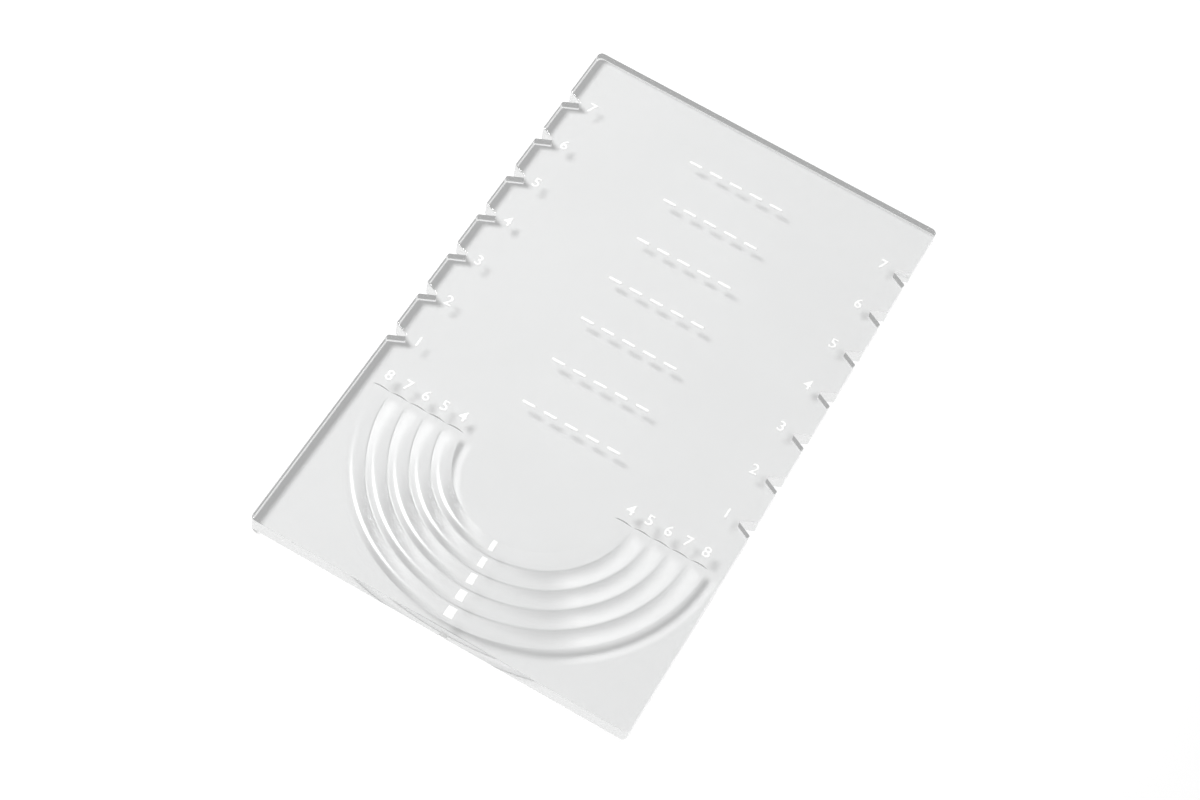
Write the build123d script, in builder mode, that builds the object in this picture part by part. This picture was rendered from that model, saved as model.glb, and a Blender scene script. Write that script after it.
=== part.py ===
from build123d import *

import os
from math import degrees

os.makedirs("parts", exist_ok=True)

# Clear moulded gauge plate, lying flat. The origin is the centre of the plate's
# outline on its underside, +X to the right, +Y towards the highest row, +Z up.

# Plate
plate_width = 68.5
plate_length = 116.0
plate_thickness = 3.0
corner_radius = 1.0
edge_break = 0.2  # small round along the rim, top and bottom

# Rows: a notch in each long edge and a line of dashes between them
row_count = 7
row_pitch = 10.0
end_margin = 12.5  # from the highest row to the end of the plate
notch_depth = 2.8
notch_mouth = 2.9
notch_corner_radius = 0.3
notch_root_radius = 0.15

# Dashes of a row, raised on the plate's top
dash_count = 5
dash_pitch = 4.0
dash_length = 2.5
dash_width = 0.55
mark_height = 0.12  # of every raised mark

# Low round-topped beads, bent into half rings about one centre
bead_count = 5
first_bead = 4  # number beside the innermost bead
bead_pitch = 3.5  # a bead's number times this is its inner radius
bead_width = 3.3
bead_height = 0.6
bead_margin = 1.0  # from the outermost bead to the near end of the plate

# Mark laid across each bead, just right of the middle
centre_mark_span = 2.0  # along the bead's round top
centre_mark_sweep = 3.0  # degrees round the ring's centre

# Places that follow from the sizes above
half_width = plate_width / 2
half_length = plate_length / 2
last_row_y = half_length - end_margin
row_heights = [last_row_y - row_pitch * (row_count - 1 - i) for i in range(row_count)]
bead_radii = [bead_pitch * (first_bead + i + 0.5) for i in range(bead_count)]
ring_radius = bead_radii[-1] + bead_pitch / 2
ring_centre_y = -half_length + bead_margin + ring_radius
bead_section_radius = (bead_width**2 / 4 + bead_height**2) / (2 * bead_height)
bead_axis_height = bead_height - bead_section_radius  # above the plate's top
ring_axis = Axis((0, ring_centre_y, 0), (0, 0, 1))

# Upright planes through the ring's centre, out to its left end and to the near end
left_section = Plane(origin=(0, ring_centre_y, plate_thickness), x_dir=(-1, 0, 0), z_dir=(0, 1, 0))
near_section = Plane(origin=(0, ring_centre_y, plate_thickness), x_dir=(0, -1, 0), z_dir=(-1, 0, 0))

# The plate, with its notches and its beads
with BuildPart() as plate:
    with BuildSketch() as outline:
        RectangleRounded(plate_width, plate_length, corner_radius)
        for side in (-1, 1):
            for y in row_heights:
                with BuildLine():
                    Polyline(
                        (side * half_width, y - notch_mouth / 2),
                        (side * (half_width - notch_depth), y),
                        (side * half_width, y + notch_mouth / 2),
                        close=True,
                    )
                make_face(mode=Mode.SUBTRACT)
        notch_reach = (row_heights[0] - notch_mouth, last_row_y + notch_mouth)
        notch_vertices = outline.vertices().filter_by_position(Axis.Y, *notch_reach)
        roots = notch_vertices.filter_by(lambda v: abs(v.X) < half_width - notch_depth / 2)
        mouths = notch_vertices.filter_by(lambda v: abs(v.X) > half_width - notch_depth / 2)
        fillet(roots, notch_root_radius)
        fillet(mouths, notch_corner_radius)
    extrude(amount=plate_thickness)
    rim = plate.faces().filter_by(Axis.Z).edges()
    fillet(rim, edge_break)
    with BuildSketch(left_section):
        for radius in bead_radii:
            with Locations((radius, bead_axis_height)):
                Circle(bead_section_radius)
        with Locations((ring_radius, -bead_section_radius)):
            Rectangle(ring_radius * 2, bead_section_radius * 2, mode=Mode.SUBTRACT)
    revolve(axis=ring_axis, revolution_arc=180)
plate.part.label = "plate"
export_step(plate.part, "parts/plate.step")

# One line of dashes for each row
for number, y in enumerate(row_heights, start=1):
    with BuildPart() as row_dashes:
        with BuildSketch(Plane(origin=(0, y, plate_thickness))):
            with GridLocations(dash_pitch, dash_pitch, dash_count, 1):
                SlotOverall(dash_length, dash_width)
        extrude(amount=mark_height)
    row_dashes.part.label = f"row_dashes_{number}"
    export_step(row_dashes.part, f"parts/row_dashes_{number}.step")

# One mark over each bead
mark_arc = degrees(centre_mark_span / bead_section_radius)
mark_start = 90 - mark_arc / 2
with BuildPart() as centre_marks:
    with BuildSketch(near_section):
        for radius in bead_radii:
            centre = (radius, bead_axis_height)
            with BuildLine():
                lower = CenterArc(centre, bead_section_radius, mark_start, mark_arc)
                upper = CenterArc(centre, bead_section_radius + mark_height, mark_start, mark_arc)
                Line(lower @ 0, upper @ 0)
                Line(lower @ 1, upper @ 1)
            make_face()
    revolve(axis=ring_axis, revolution_arc=centre_mark_sweep)
centre_marks.part.label = "centre_marks"
export_step(centre_marks.part, "parts/centre_marks.step")
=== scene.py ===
from math import acos, atan2, cos, degrees, pi, radians, sin

import bmesh
import bpy
from mathutils import Matrix, Vector


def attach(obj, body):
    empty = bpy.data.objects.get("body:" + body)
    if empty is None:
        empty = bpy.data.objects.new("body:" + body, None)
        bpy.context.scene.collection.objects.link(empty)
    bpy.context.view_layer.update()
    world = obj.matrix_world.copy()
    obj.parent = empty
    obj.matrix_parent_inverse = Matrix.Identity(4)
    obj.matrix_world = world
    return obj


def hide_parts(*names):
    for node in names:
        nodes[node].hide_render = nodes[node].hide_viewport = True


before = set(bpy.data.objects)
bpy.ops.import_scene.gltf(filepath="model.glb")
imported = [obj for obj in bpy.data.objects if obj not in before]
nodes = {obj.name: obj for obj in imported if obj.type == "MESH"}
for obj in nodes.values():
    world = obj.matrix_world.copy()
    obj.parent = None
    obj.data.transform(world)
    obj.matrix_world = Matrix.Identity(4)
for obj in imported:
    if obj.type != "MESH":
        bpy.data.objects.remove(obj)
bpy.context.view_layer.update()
scene = bpy.context.scene
scene.view_settings.view_transform = "Standard"
mm = 0.001

# the clear plate, in millimetres: its outline, the rows of notches and the rim
plateSizes = {
    "width": 68.5,
    "length": 116.0,
    "thickness": 3.0,
    "cornerRadius": 1.0,
    "rimRound": 0.2,
    "rows": 7,
    "rowPitch": 10.0,
    "firstRow": -14.5,
    "notchDepth": 2.8,
    "notchMouth": 2.9,
    "notchCorner": 0.3,
    "notchRoot": 0.15,
    "stepsPerQuarter": 10,
    "rimSteps": 4,
}

# the beads, half rings about one centre, with the first number beside the innermost
beadSizes = {
    "Count": 5,
    "First number": 4,
    "Pitch": 3.5,
    "Width": 3.3,
    "Height": 0.6,
    "Ring centre": -25.5,
    "Steps round": 181,
    "Steps across": 33,
    "Overlap": 2.0,  # degrees that the round top goes on below the plate's top, to join it
    "Crease": 30.0,
}
beadNumbers = [beadSizes["First number"] + i for i in range(beadSizes["Count"])]
beadRadii = [(number + 0.5) * beadSizes["Pitch"] for number in beadNumbers]


# camera and floor come first

cameraSetup = {
    "place": (67.63, -254.17, 386.86),
    "turn": (32.592, -8.988, 28.742),
    "lens": 83.87,
    "sensor": 36,
    "nearest": 0.01,
    "furthest": 20,
}


def makeCamera(setup):
    lens = bpy.data.cameras.new("camera")
    lens.sensor_width = setup["sensor"]
    lens.lens = setup["lens"]
    lens.clip_start = setup["nearest"]
    lens.clip_end = setup["furthest"]
    holder = bpy.data.objects.new("camera", lens)
    holder.location = Vector(setup["place"]) * mm
    holder.rotation_euler = [radians(angle) for angle in setup["turn"]]
    scene.collection.objects.link(holder)
    scene.camera = holder
    print("camera in place")


# a socket that takes part in arithmetic, and short ways to the other nodes
class Wire:
    def __init__(self, tree, socket=None):
        self.tree = tree
        self.socket = socket

    def add(self, kind, settings=None, feeds=None, out=0):
        made = self.tree.nodes.new(kind)
        for name, value in (settings or {}).items():
            setattr(made, name, value)
        for key, value in (feeds or {}).items():
            if isinstance(value, Wire):
                self.tree.links.new(value.socket, made.inputs[key])
            else:
                made.inputs[key].default_value = value
        return Wire(self.tree, made.outputs[out] if made.outputs else None)

    def maths(self, operation, first, second=0.0):
        return self.add("ShaderNodeMath", {"operation": operation}, {0: first, 1: second})

    def __add__(self, other):
        return self.maths("ADD", self, other)

    def __radd__(self, other):
        return self.maths("ADD", other, self)

    def __sub__(self, other):
        return self.maths("SUBTRACT", self, other)

    def __rsub__(self, other):
        return self.maths("SUBTRACT", other, self)

    def __truediv__(self, other):
        return self.maths("DIVIDE", self, other)

    def __mul__(self, other):
        return self.maths("MULTIPLY", self, other)

    def __rmul__(self, other):
        return self.maths("MULTIPLY", other, self)

    def most(self, other):
        return self.maths("MAXIMUM", self, other)

    def least(self, other):
        return self.maths("MINIMUM", self, other)

    # a soft step from one value to another as the socket goes from low to high
    def between(self, low, high, before=0.0, after=1.0):
        feeds = {"Value": self, "From Min": low, "From Max": high, "To Min": before, "To Max": after}
        return self.add("ShaderNodeMapRange", {"interpolation_type": "SMOOTHSTEP"}, feeds)

    def vectors(self, operation, first, second=None, out="Vector"):
        feeds = {0: first} if second is None else {0: first, 1: second}
        return self.add("ShaderNodeVectorMath", {"operation": operation}, feeds, out)

    # the same vector without its height
    def level(self):
        return self.vectors("MULTIPLY", self, Vector((1, 1, 0)))

    def upward(self):
        return self.add("ShaderNodeSeparateXYZ", feeds={"Vector": self}, out="Z")

    def ray(self, question):
        return self.add("ShaderNodeLightPath", out=question)

    def noise(self, place, grain):
        return self.add("ShaderNodeTexNoise", feeds={"Vector": place, **grain}, out="Fac")

    # inputs 6 and 7 and output 2 are the ones for colours
    def tint(self, first, second):
        feeds = {"Factor": self, 6: first, 7: second}
        return self.add("ShaderNodeMix", {"data_type": "RGBA"}, feeds, out=2)

    def clear(self, colour):
        return self.add("ShaderNodeBsdfTransparent", feeds={"Color": colour})

    def blend(self, share, first, second):
        return self.add("ShaderNodeMixShader", feeds={0: share, 1: first, 2: second})

    # an input of a Geometry Nodes tree, by its label
    def given(self, label):
        return self.add("NodeGroupInput", out=label)


def newMaterial(name):
    made = bpy.data.materials.new(name)
    made.use_nodes = True
    made.node_tree.nodes.clear()
    return made, Wire(made.node_tree)


def closeMaterial(wire, shader):
    wire.add("ShaderNodeOutputMaterial", feeds={"Surface": shader})


# what the eye sees directly, past no diffuse bounce: 1 for camera, mirrored and bent rays
def seenDirectly(wire):
    seen = wire.ray("Is Camera Ray").most(wire.ray("Is Glossy Ray")).most(wire.ray("Is Transmission Ray"))
    return seen * (1 - wire.ray("Diffuse Depth").least(1.0))


# size in metres, gap under the plate in millimetres
floorLook = {"colour": (0.84, 0.84, 0.84, 1), "lift": 0.16, "size": 4.0, "gap": 0.15}


def makeFloor(look):
    mesh = bpy.data.meshes.new("floor")
    half = look["size"] / 2
    level = -look["gap"] * mm
    corners = [(-half, -half, level), (half, -half, level), (half, half, level), (-half, half, level)]
    mesh.from_pydata(corners, [], [(0, 1, 2, 3)])
    floor = bpy.data.objects.new("floor", mesh)
    scene.collection.objects.link(floor)
    made, wire = newMaterial("whiteFloor")
    matt = wire.add("ShaderNodeBsdfDiffuse", feeds={"Color": look["colour"]})
    glow = wire.add("ShaderNodeEmission", feeds={"Strength": seenDirectly(wire) * look["lift"]})
    closeMaterial(wire, wire.add("ShaderNodeAddShader", feeds={0: matt, 1: glow}))
    mesh.materials.append(made)
    print("floor laid")


# a round lamp, its distance and size in metres, in a pale room
lightSetup = {
    "elevation": 61.0,
    "azimuth": 173.0,
    "distance": 0.75,
    "size": 0.23,
    "power": 4.5,
    "sky": 0.45,
}
lampSide = radians(lightSetup["azimuth"])
lampRise = radians(lightSetup["elevation"])
overLamp = Vector((cos(lampSide), sin(lampSide), 0))  # level, towards the lamp
towardsLamp = Vector((cos(lampRise) * cos(lampSide), cos(lampRise) * sin(lampSide), sin(lampRise)))


def makeLights(setup):
    lamp = bpy.data.lights.new("softbox", "AREA")
    lamp.shape = "DISK"
    lamp.size = setup["size"]
    lamp.energy = setup["power"]
    holder = bpy.data.objects.new("softbox", lamp)
    holder.location = towardsLamp * setup["distance"]
    holder.rotation_euler = towardsLamp.to_track_quat("Z", "Y").to_euler()
    holder.visible_transmission = False
    scene.collection.objects.link(holder)

    sky = bpy.data.worlds.new("paleRoom")
    sky.use_nodes = True
    sky.node_tree.nodes.clear()
    wire = Wire(sky.node_tree)
    direct = seenDirectly(wire)
    strength = direct + (1 - direct) * setup["sky"]
    back = wire.add("ShaderNodeBackground", feeds={"Color": (1, 1, 1, 1), "Strength": strength})
    wire.add("ShaderNodeOutputWorld", feeds={"Surface": back})
    sky.cycles.sampling_method = "NONE"  # so that only the lamp's rays count as shadow rays
    scene.world = sky
    print("lights on")


# clear moulded plastic: faint haze and a faint wave in the surface, as moulding leaves them
clearLook = {
    "deep": (0.72, 0.725, 0.725, 1),
    "pale": (0.75, 0.755, 0.755, 1),
    "cloud": {"Scale": 45.0, "Detail": 2.0},
    "bend": 1.49,
    "onBeads": 0.2,  # roughness of the beads
    "smudge": {"Scale": 240.0, "Detail": 4.0},
    "smudged": 0.04,
    "wave": {"Scale": 70.0, "Detail": 1.0},
    "waved": 0.05,
    "waveHeight": 0.0002,
    "steep": 0.35,  # up to here the surface counts as a wall, and from level on as flat
    "level": 0.75,
    "wallPass": 0.94,
    "shine": (0.98, 0.98, 0.98, 1),
    # painted glow: after this many bounces inside, the plastic glows pale in place of the light it would
    # pass
    "trappedAfter": 3.5,
    "trappedPaintedGlow": (0.95, 0.95, 0.95, 1),
}

# stands in for the light that the beads gather on the floor, which isn't traced. The shares:
# more light under the flank turned away from the lamp, less under the top, and least where
# no further bead lies beyond. Heights are above the plate's top, shares are of the gain
beadLight = {
    "plateTop": plateSizes["thickness"],
    "foot": 0.02,
    "flank": 0.10,
    "shoulder": 0.52,
    "crest": 0.58,
    "wideShoulder": 0.47,  # where no further bead lies beyond
    "wideCrest": 0.55,
    "turnedAway": -0.24,
    "turnedTo": -0.02,
    "gathered": 0.92,
    "thinned": 0.52,
    "filled": 0.14,
    "dark": 0.02,
    "flat": 0.55,
    "gain": (1.8, 1.8, 1.8, 1),
    "drift": 0.554,  # how far the lamp's rays go sideways for each millimetre down
    "ringCentre": (0.0, beadSizes["Ring centre"], 0.0),
    "paintedShadeSide": -75.0,  # direction of a stretch of painted shade, where less of the lamp's light passes, from the ring's centre
    "paintedShadeFrom": 0.88,
    "paintedShadeTo": 0.98,
    "paintedShadeShare": 0.5,
    "ringInside": beadRadii[0] - beadSizes["Width"] / 2,
    "ringOutside": beadRadii[-1] + beadSizes["Width"] / 2,
    "edge": 0.2,
}


# goes from 0 to 1 between two heights on a bead, named in the light's settings
def climb(place, light, low, high):
    base = light["plateTop"]
    return place.upward().between((base + light[low]) * mm, (base + light[high]) * mm)


# how much of the lamp's light a flat face or a bead lets through, as a share of the gain
def lampShare(wire, light, place, facing, inside, onBead):
    tilt = wire.vectors("DOT_PRODUCT", facing, overLamp, "Value") * (1 - inside * 2)
    flank = tilt.between(light["turnedAway"], light["turnedTo"], light["gathered"], light["thinned"])

    # painted shade: less of the lamp's light passes in a stretch just right of the ring's middle
    centre = Vector(light["ringCentre"]) * mm
    fromCentre = wire.vectors("SUBTRACT", place, centre)
    fromCentre = wire.vectors("NORMALIZE", fromCentre.level())
    side = radians(light["paintedShadeSide"])
    along = wire.vectors("DOT_PRODUCT", fromCentre, Vector((cos(side), sin(side), 0)), "Value")
    along = along.between(light["paintedShadeFrom"], light["paintedShadeTo"])
    flank = flank + along * (light["paintedShadeShare"] - flank)

    # where on the floor a ray through this point lands, measured from the ring's centre
    away = overLamp * -light["drift"] * (light["plateTop"] + light["crest"]) * mm
    landing = wire.vectors("SUBTRACT", place, centre - away)
    landing = wire.vectors("LENGTH", landing.level(), None, "Value")
    outer, inner, soft = (light[name] * mm for name in ("ringOutside", "ringInside", "edge"))
    past = landing.between(outer - soft, outer + soft)
    short = landing.between(inner - soft, inner + soft, 1.0, 0.0)
    beyond = past.most(short)

    narrow = climb(place, light, "shoulder", "crest")
    wide = climb(place, light, "wideShoulder", "wideCrest")
    onCrest = narrow + beyond * (wide - narrow)
    top = light["filled"] + beyond * (light["dark"] - light["filled"])
    return light["flat"] * (1 - onBead) + onBead * (flank * (1 - onCrest) + onCrest * top)


def makeClearPlastic(look, light):
    made, wire = newMaterial("clearPlastic")
    place = wire.add("ShaderNodeTexCoord", out="Object")
    facing = wire.add("ShaderNodeNewGeometry", out="Normal")
    inside = wire.add("ShaderNodeNewGeometry", out="Backfacing")
    slope = wire.maths("ABSOLUTE", facing.upward()).between(look["steep"], look["level"])  # 1 where flat
    onBead = climb(place, light, "foot", "flank")
    height = wire.noise(place, look["wave"]) * slope
    feeds = {"Strength": look["waved"], "Distance": look["waveHeight"], "Height": height}
    bump = wire.add("ShaderNodeBump", feeds=feeds)
    smudge = wire.noise(place, look["smudge"])
    plastic = wire.add(
        "ShaderNodeBsdfPrincipled",
        feeds={
            "Base Color": wire.noise(place, look["cloud"]).tint(look["deep"], look["pale"]),
            "Roughness": onBead * look["onBeads"] + smudge * look["smudged"],
            "IOR": look["bend"],
            "Transmission Weight": 1.0,
            "Normal": bump,
        },
    )

    # the lamp shines straight through the flat faces and the beads, and not through the upright
    # walls from inside, so the floor under the plate keeps its dark rim and the marks' shadows
    share = slope * lampShare(wire, light, place, facing, inside, onBead)
    wall = (1 - slope) * (1 - inside).most(onBead) * look["wallPass"]
    lampward = wire.blend(share.most(wall * light["flat"]), plastic, wire.clear(light["gain"]))
    through = wire.blend(slope.most(look["wallPass"]), plastic, wire.clear(look["shine"]))
    spread = wire.ray("Diffuse Depth").least(1.0)  # 1 past a diffuse bounce
    bounced = wire.blend(spread, plastic, through)
    lamped = wire.blend(wire.ray("Is Shadow Ray"), bounced, lampward)

    # painted glow: rays that have bounced many times inside give a pale glow, standing in for the light
    # that leaves pale from the walls
    trappedPaintedGlow = wire.maths("GREATER_THAN", wire.ray("Ray Depth"), look["trappedAfter"]) * (1 - spread)
    glow = wire.add("ShaderNodeEmission", feeds={"Color": look["trappedPaintedGlow"], "Strength": 1.0})
    closeMaterial(wire, wire.blend(trappedPaintedGlow, lamped, glow))
    print("clear plastic mixed")
    return made


# white marking plastic, matt, with a very fine grain, and thin enough to pass some of the lamp's light
markLook = {
    "dim": (0.90, 0.90, 0.89, 1),
    "bright": (0.96, 0.96, 0.955, 1),
    "grain": {"Scale": 2500.0, "Detail": 3.0},
    "roughness": 0.5,
    "rougher": 0.15,  # where the grain is highest
    "grained": 0.3,
    "grainHeight": 0.00002,
    "letThrough": 0.6,
}


def makeWhiteMarks(look):
    made, wire = newMaterial("whiteMarks")
    grain = wire.noise(wire.add("ShaderNodeTexCoord", out="Object"), look["grain"])
    feeds = {"Strength": look["grained"], "Distance": look["grainHeight"], "Height": grain}
    plastic = wire.add(
        "ShaderNodeBsdfPrincipled",
        feeds={
            "Base Color": grain.tint(look["dim"], look["bright"]),
            "Roughness": look["roughness"] + grain * look["rougher"],
            "Normal": wire.add("ShaderNodeBump", feeds=feeds),
        },
    )
    share = wire.ray("Is Shadow Ray") * look["letThrough"]
    closeMaterial(wire, wire.blend(share, plastic, wire.clear((1, 1, 1, 1))))
    print("white marks mixed")
    return made


# one fillet of a corner of the outline, as points from one tangent point to the other
def roundedCorner(before, corner, after, radius, steps):
    back = (Vector(before) - Vector(corner)).normalized()
    ahead = (Vector(after) - Vector(corner)).normalized()
    opening = acos(max(-1.0, min(1.0, back.dot(ahead))))
    middle = (back + ahead).normalized()
    centre = Vector(corner) + middle * (radius / sin(opening / 2))
    reach = radius / (sin(opening / 2) / cos(opening / 2))
    start = Vector(corner) + back * reach - centre
    end = Vector(corner) + ahead * reach - centre
    first = atan2(start.y, start.x)
    sweep = atan2(end.y, end.x) - first
    sweep = (sweep + pi) % (2 * pi) - pi
    count = max(2, round(abs(degrees(sweep)) / 90 * steps))
    angles = [first + sweep * i / count for i in range(count + 1)]
    return [(centre.x + radius * cos(angle), centre.y + radius * sin(angle)) for angle in angles]


def rowHeights(sizes):
    return [sizes["firstRow"] + sizes["rowPitch"] * i for i in range(sizes["rows"])]


def outlineOfPlate(sizes):
    halfWidth = sizes["width"] / 2
    halfLength = sizes["length"] / 2
    halfMouth = sizes["notchMouth"] / 2
    rows = rowHeights(sizes)
    corners = [((halfWidth, -halfLength), sizes["cornerRadius"])]
    for side, order in ((1, rows), (-1, rows[::-1])):
        for y in order:
            corners.append(((side * halfWidth, y - side * halfMouth), sizes["notchCorner"]))
            corners.append(((side * (halfWidth - sizes["notchDepth"]), y), sizes["notchRoot"]))
            corners.append(((side * halfWidth, y + side * halfMouth), sizes["notchCorner"]))
        corners.append(((side * halfWidth, side * halfLength), sizes["cornerRadius"]))
        if side == 1:
            corners.append(((-halfWidth, halfLength), sizes["cornerRadius"]))
    points = []
    for i, (corner, radius) in enumerate(corners):
        before = corners[i - 1][0]
        after = corners[(i + 1) % len(corners)][0]
        points += roundedCorner(before, corner, after, radius, sizes["stepsPerQuarter"])
    return points


# a Geometry Nodes tree with named inputs, and a wire to start from
def newTree(name, sizes):
    tree = bpy.data.node_groups.new(name, "GeometryNodeTree")
    tree.is_modifier = True
    tree.interface.new_socket("Mesh", in_out="OUTPUT", socket_type="NodeSocketGeometry")
    tree.interface.new_socket("Mesh", in_out="INPUT", socket_type="NodeSocketGeometry")
    for label, value in sizes.items():
        kind = "Int" if isinstance(value, int) else "Float"
        kind = "Material" if isinstance(value, bpy.types.Material) else kind
        tree.interface.new_socket(label, in_out="INPUT", socket_type="NodeSocket" + kind)
    return tree, Wire(tree)


def closeTree(wire, shape):
    shape = wire.add("GeometryNodeRealizeInstances", feeds={"Geometry": shape})
    feeds = {"Geometry": shape, "Material": wire.given("Material")}
    shape = wire.add("GeometryNodeSetMaterial", feeds=feeds)
    wire.add("NodeGroupOutput", feeds={"Mesh": shape})


# runs a tree on a mesh, with any other modifiers after it, and gives the result as a plain mesh
def growMesh(name, mesh, tree, sizes, weighted=False):
    carrier = bpy.data.objects.new(name, mesh)
    scene.collection.objects.link(carrier)
    grower = carrier.modifiers.new(tree.name, "NODES")
    grower.node_group = tree
    for item in tree.interface.items_tree:
        if item.in_out == "INPUT" and item.name in sizes:
            grower[item.identifier] = sizes[item.name]
    if weighted:
        flatter = carrier.modifiers.new("weightedNormals", "WEIGHTED_NORMAL")
        flatter.keep_sharp = True
    ready = carrier.evaluated_get(bpy.context.evaluated_depsgraph_get())
    grown = bpy.data.meshes.new_from_object(ready)
    grown.name = name
    carrier.modifiers.clear()
    bpy.data.objects.remove(carrier)
    return grown


# a finished mesh, in millimetres until here, becomes a piece that rides on the part
def placePiece(name, mesh, standsFor=()):
    mesh.transform(Matrix.Scale(mm, 4))
    piece = bpy.data.objects.new(name, mesh)
    scene.collection.objects.link(piece)
    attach(piece, "root")
    if standsFor:
        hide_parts(*standsFor)
    print(name, len(mesh.polygons), "faces")


# a solid from closed rings of points, lowest first, with flat ends
def stackRings(name, levels):
    body = bmesh.new()
    rings = [[body.verts.new(point) for point in level] for level in levels]
    for low, high in zip(rings, rings[1:]):
        for i in range(len(low)):
            body.faces.new((low[i - 1], low[i], high[i], high[i - 1]))
    body.faces.new(rings[0][::-1])
    body.faces.new(rings[-1])
    mesh = bpy.data.meshes.new(name)
    body.to_mesh(mesh)
    body.free()
    return mesh


# the plate itself: its outline at several heights, drawn in at the rim's rounds
def makePlateBody(sizes):
    points = [Vector(point) for point in outlineOfPlate(sizes)]
    inward = []
    for before, point, after in zip(points[-1:] + points, points, points[1:] + points[:1]):
        coming = (point - before).normalized()
        along = (coming + (after - point).normalized()).normalized()
        inward.append(Vector((-along.y, along.x)) / coming.dot(along))
    rim = sizes["rimRound"]
    turns = [pi / 2 * i / sizes["rimSteps"] for i in range(sizes["rimSteps"] + 1)]
    steps = [(rim * (1 - sin(turn)), rim * (1 - cos(turn))) for turn in turns]
    steps += [(inset, sizes["thickness"] - z) for inset, z in steps[::-1]]
    levels = [[(*(p + side * inset), z) for p, side in zip(points, inward)] for inset, z in steps]
    return stackRings("plateBody", levels)


# half rings of round bead, one for each number, joined to the plate that comes in
def beadTree(sizes):
    tree, wire = newTree("halfRingBeads", sizes)
    size = wire.given
    half = size("Width") * 0.5
    rise = size("Height")
    bow = (half * half + rise * rise) / (rise * 2)  # radius of the bead's top
    opening = wire.maths("ARCSINE", half / bow) + size("Overlap") * (pi / 180)
    axis = size("Level") + rise - bow
    centre = wire.add("ShaderNodeCombineXYZ", feeds={"Y": size("Ring centre"), "Z": axis})
    spots = wire.add("GeometryNodePoints", feeds={"Count": size("Count"), "Position": centre})
    number = wire.add("GeometryNodeInputIndex") + size("First number")
    radius = (number + 0.5) * size("Pitch")
    spread = wire.add("ShaderNodeCombineXYZ", feeds={"X": radius, "Y": radius, "Z": 1.0})
    arc = wire.add(
        "GeometryNodeCurveArc",
        {"mode": "RADIUS"},
        {"Resolution": size("Steps round"), "Radius": 1.0, "Start Angle": pi, "Sweep Angle": pi},
    )
    feeds = {"Points": spots, "Instance": arc, "Scale": spread}
    arcs = wire.add("GeometryNodeInstanceOnPoints", feeds=feeds)
    arcs = wire.add("GeometryNodeRealizeInstances", feeds={"Geometry": arcs})
    arcs = wire.add("GeometryNodeSetCurveNormal", {"mode": "Z_UP"}, {"Curve": arcs})
    # the section is a fan from its axis, so below the plate's top the beads stay apart
    section = wire.add(
        "GeometryNodeCurveArc",
        {"mode": "RADIUS"},
        {
            "Resolution": size("Steps across"),
            "Radius": bow,
            "Start Angle": -pi / 2 - opening,
            "Sweep Angle": opening * 2,
            "Connect Center": True,
        },
    )
    beads = wire.add(
        "GeometryNodeCurveToMesh", feeds={"Curve": arcs, "Profile Curve": section, "Fill Caps": True}
    )
    joining = {"operation": "UNION", "solver": "EXACT"}
    joined = wire.add("GeometryNodeMeshBoolean", joining, {"Mesh 2": size("Mesh")})
    tree.links.new(beads.socket, joined.socket.node.inputs["Mesh 2"])
    smooth = wire.add("GeometryNodeSetShadeSmooth", feeds={"Geometry": joined, "Shade Smooth": True})
    bend = wire.add("GeometryNodeInputMeshEdgeAngle", out="Unsigned Angle")
    crease = wire.maths("GREATER_THAN", bend, size("Crease") * (pi / 180))
    smooth = wire.add(
        "GeometryNodeSetShadeSmooth",
        {"domain": "EDGE"},
        {"Geometry": smooth, "Selection": crease, "Shade Smooth": False},
    )
    closeTree(wire, smooth)
    return tree


def makePlate(sizes, beads, material):
    values = {**beads, "Level": sizes["thickness"], "Material": material}
    mesh = growMesh("clearPlate", makePlateBody(sizes), beadTree(values), values, weighted=True)
    placePiece("clearPlate", mesh, ["plate"])


# raised dashes: one low bar with round ends and a soft top, set five to a row
dashSizes = {
    "length": 2.5,
    "width": 0.55,
    "height": 0.12,
    "soft": 0.07,
    "softAngles": (30, 60, 90),
    "sink": 0.02,
    "steps": 10,
}
rowSizes = {"Dashes": 5, "Pitch": 4.0}


def makeDash(sizes):
    half = sizes["width"] / 2
    reach = sizes["length"] / 2 - half
    soft = sizes["soft"]
    shoulder = sizes["height"] - soft
    levels = [(0.0, -sizes["sink"]), (0.0, shoulder)]
    for angle in sizes["softAngles"]:
        turn = radians(angle)
        levels.append((soft * (1 - cos(turn)), sizes["height"] - soft * (1 - sin(turn))))
    turns = [pi * i / sizes["steps"] - pi / 2 for i in range(sizes["steps"] + 1)]
    rings = []
    for inset, z in levels:
        end = [(reach + (half - inset) * cos(turn), (half - inset) * sin(turn), z) for turn in turns]
        rings.append(end + [(-x, -y, z) for x, y, z in end])
    return stackRings("dash", rings)


def dashTree(sizes):
    tree, wire = newTree("dashRow", sizes)
    size = wire.given
    first = (size("Dashes") - 1) * size("Pitch") * -0.5
    start = wire.add("ShaderNodeCombineXYZ", feeds={"X": first, "Y": size("Row"), "Z": size("Level")})
    step = wire.add("ShaderNodeCombineXYZ", feeds={"X": size("Pitch")})
    feeds = {"Count": size("Dashes"), "Start Location": start, "Offset": step}
    line = wire.add("GeometryNodeMeshLine", {"mode": "OFFSET"}, feeds)
    row = wire.add("GeometryNodeInstanceOnPoints", feeds={"Points": line, "Instance": size("Mesh")})
    closeTree(wire, row)
    return tree


def makeDashRows(sizes, dash, row, material):
    values = {**row, "Row": 0.0, "Level": sizes["thickness"], "Material": material}
    tree = dashTree(values)
    for number, y in enumerate(rowHeights(sizes), start=1):
        mesh = growMesh(f"dashRow{number}", makeDash(dash), tree, {**values, "Row": y})
        placePiece(f"dashRow{number}", mesh, [f"row_dashes_{number}"])


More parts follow.
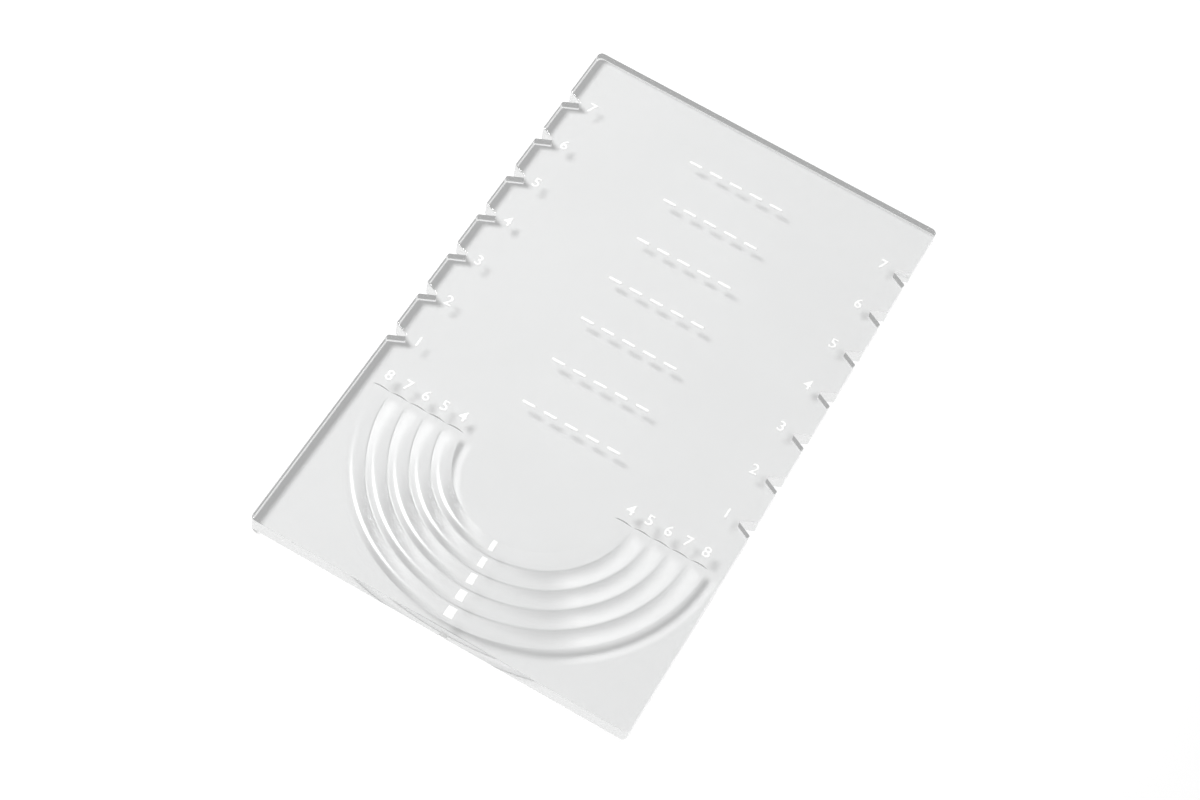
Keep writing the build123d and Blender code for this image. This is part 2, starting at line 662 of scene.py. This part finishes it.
# plain raised numbers beside the notches and beyond the beads' ends
numberSizes = {
    "height": 2.1,
    "fontScale": 1.38,  # font size for digits of height 1
    "raise": 0.12,
    "sink": 0.02,
    "thicken": 0.012,
    "soft": 0.03,
    "softSteps": 2,
    "curveSteps": 4,
    "weld": 0.0005,
    "beside": 29.2,  # of the notches: from the middle, and up from the row
    "up": 0.15,
    "above": 2.8,  # from the beads' ends
}


def numberMesh(text, x, y, sizes, level):
    curve = bpy.data.curves.new("number", "FONT")
    curve.body = text
    curve.align_x = "CENTER"
    curve.align_y = "CENTER"
    curve.size = sizes["height"] * sizes["fontScale"]
    curve.offset = sizes["thicken"]
    curve.extrude = (sizes["raise"] + sizes["sink"]) / 2 - sizes["soft"]
    curve.bevel_depth = sizes["soft"]
    curve.bevel_resolution = sizes["softSteps"]
    curve.resolution_u = sizes["curveSteps"]
    carrier = bpy.data.objects.new("number", curve)
    scene.collection.objects.link(carrier)
    ready = carrier.evaluated_get(bpy.context.evaluated_depsgraph_get())
    mesh = bpy.data.meshes.new_from_object(ready)
    bpy.data.objects.remove(carrier)
    low = min(vertex.co.y for vertex in mesh.vertices)
    high = max(vertex.co.y for vertex in mesh.vertices)
    middle = level + (sizes["raise"] - sizes["sink"]) / 2
    mesh.transform(Matrix.Translation((x, y - (low + high) / 2, middle)))
    return mesh


def makeNumbers(name, places, sizes, level, material):
    group = bmesh.new()
    for text, x, y in places:
        group.from_mesh(numberMesh(text, x, y, sizes, level))
    bmesh.ops.remove_doubles(group, verts=group.verts, dist=sizes["weld"])
    bmesh.ops.recalc_face_normals(group, faces=group.faces)
    mesh = bpy.data.meshes.new(name)
    group.to_mesh(mesh)
    group.free()
    mesh.materials.append(material)
    placePiece(name, mesh)


def makeAllNumbers(sizes, plate, beads, material):
    level = plate["thickness"]
    ends = beads["Ring centre"] + sizes["above"]
    for side, label in ((-1, "Left"), (1, "Right")):
        rows = enumerate(rowHeights(plate), start=1)
        places = [(str(number), side * sizes["beside"], y + sizes["up"]) for number, y in rows]
        makeNumbers("notchNumbers" + label, places, sizes, level, material)
        places = [(str(number), side * radius, ends) for number, radius in zip(beadNumbers, beadRadii)]
        makeNumbers("ringNumbers" + label, places, sizes, level, material)


makeCamera(cameraSetup)
makeFloor(floorLook)
makeLights(lightSetup)
clearPlastic = makeClearPlastic(clearLook, beadLight)
whiteMarks = makeWhiteMarks(markLook)
for name, body in nodes.items():
    body.data.materials.clear()
    body.data.materials.append(clearPlastic if name == "plate" else whiteMarks)
makePlate(plateSizes, beadSizes, clearPlastic)
makeDashRows(plateSizes, dashSizes, rowSizes, whiteMarks)
makeAllNumbers(numberSizes, plateSizes, beadSizes, whiteMarks)
